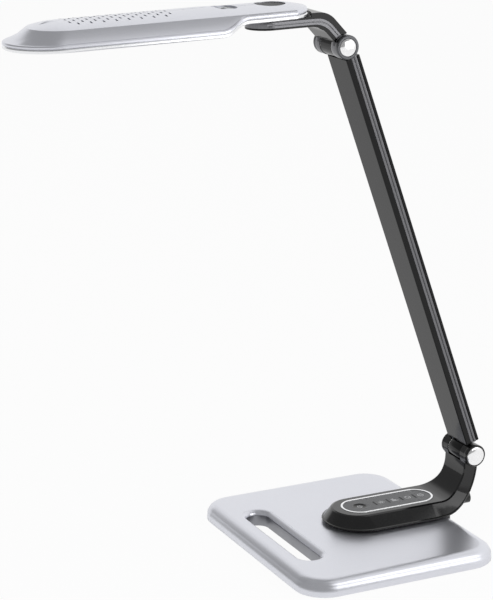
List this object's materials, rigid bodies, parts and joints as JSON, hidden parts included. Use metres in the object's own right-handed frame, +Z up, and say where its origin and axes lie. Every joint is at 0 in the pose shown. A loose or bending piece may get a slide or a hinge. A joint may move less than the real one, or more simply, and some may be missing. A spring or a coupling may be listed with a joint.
{
  "type": "desk lamp",
  "caption": "Slim folding desk lamp: slotted flat base, swivelling foot with touch panel, hinged flat arm, bent bracket and a long turning light head.",
  "frame": {"origin": "centre of the base's footprint, on the table", "axes": "+Z up, the head reaches towards -Y, +X is the lamp's left seen from the front; X = 0 is the plane of symmetry"},
  "size_m": [0.217, 0.4241, 0.4686],
  "materials": {
    "silver_satin": "silver satin lacquer",
    "bright_rim": "bright silver lacquer",
    "gloss_black": "high gloss",
    "ridged_core": "dark anodised, drawn",
    "cap_metal": "turned and polished",
    "cap_ring": "turned, dark",
    "panel_grey": "fine satin",
    "dark_plastic": "moulded",
    "steel": "zinc plated",
    "white_plastic": "moulded",
    "diffuser_white": "milky",
    "board_green": "solder mask",
    "led_yellow": "phosphor",
    "sink_aluminium": "pressed",
    "black_rubber": "matte"
  },
  "bodies": {
    "base": {"base_cover": "silver_satin", "base_tray": "dark_plastic", "base_weight": "steel", "base_pads": "black_rubber", "base_screws": "steel", "plinth": "gloss_black", "swivel_stud": "steel", "swivel_washer": "white_plastic", "swivel_nut": "steel"},
    "foot": {"foot_housing": "gloss_black", "foot_floor": "dark_plastic", "foot_screws": "steel", "neck_back_cover": "gloss_black", "touch_panel": "panel_grey", "panel_ring": "bright_rim", "control_board": "board_green", "dc_inlet": "dark_plastic", "lower_axle": "steel", "lower_washers": "white_plastic", "lower_cap_rings": "gloss_black", "lower_caps": "cap_metal"},
    "arm": {"arm_core": "ridged_core", "arm_front_cover": "gloss_black", "arm_back_cover": "gloss_black", "lower_knuckle": "gloss_black", "upper_knuckle": "gloss_black", "arm_screws": "steel", "arm_lead": "black_rubber"},
    "bracket": {"bracket_core": "ridged_core", "bracket_outer_cover": "gloss_black", "bracket_inner_cover": "gloss_black", "upper_axle": "steel", "upper_washers": "white_plastic", "upper_cap_rings": "cap_ring", "upper_caps": "cap_metal", "head_stud": "steel", "head_stud_washer": "white_plastic", "head_stud_nut": "steel"},
    "head": {"head_cover": "silver_satin", "head_frame": "bright_rim", "tail_plate": "silver_satin", "diffuser": "diffuser_white", "led_board": "board_green", "leds": "led_yellow", "heat_sink": "sink_aluminium", "pivot_cap": "panel_grey", "badge_plate": "panel_grey", "head_screws": "steel"}
  },
  "joints": [
    {"name": "foot_swivel", "type": "hinge", "parent": "base", "child": "foot", "pos_m": [0, 0.06, 0.017], "axis": [0, 0, 1], "range_deg": [-45, 45]},
    {"name": "arm_tilt", "type": "hinge", "parent": "foot", "child": "arm", "pos_m": [0, 0.1171, 0.0641], "axis": [1, 0, 0], "range_deg": [-30, 45]},
    {"name": "head_tilt", "type": "hinge", "parent": "arm", "child": "bracket", "pos_m": [0, -0.01535, 0.43199], "axis": [1, 0, 0], "range_deg": [-40, 105]},
    {"name": "head_swivel", "type": "hinge", "parent": "bracket", "child": "head", "pos_m": [0, -0.07509, 0.45724], "axis": [0, -0.0209, 0.9998], "range_deg": [-90, 90]}
  ]
}
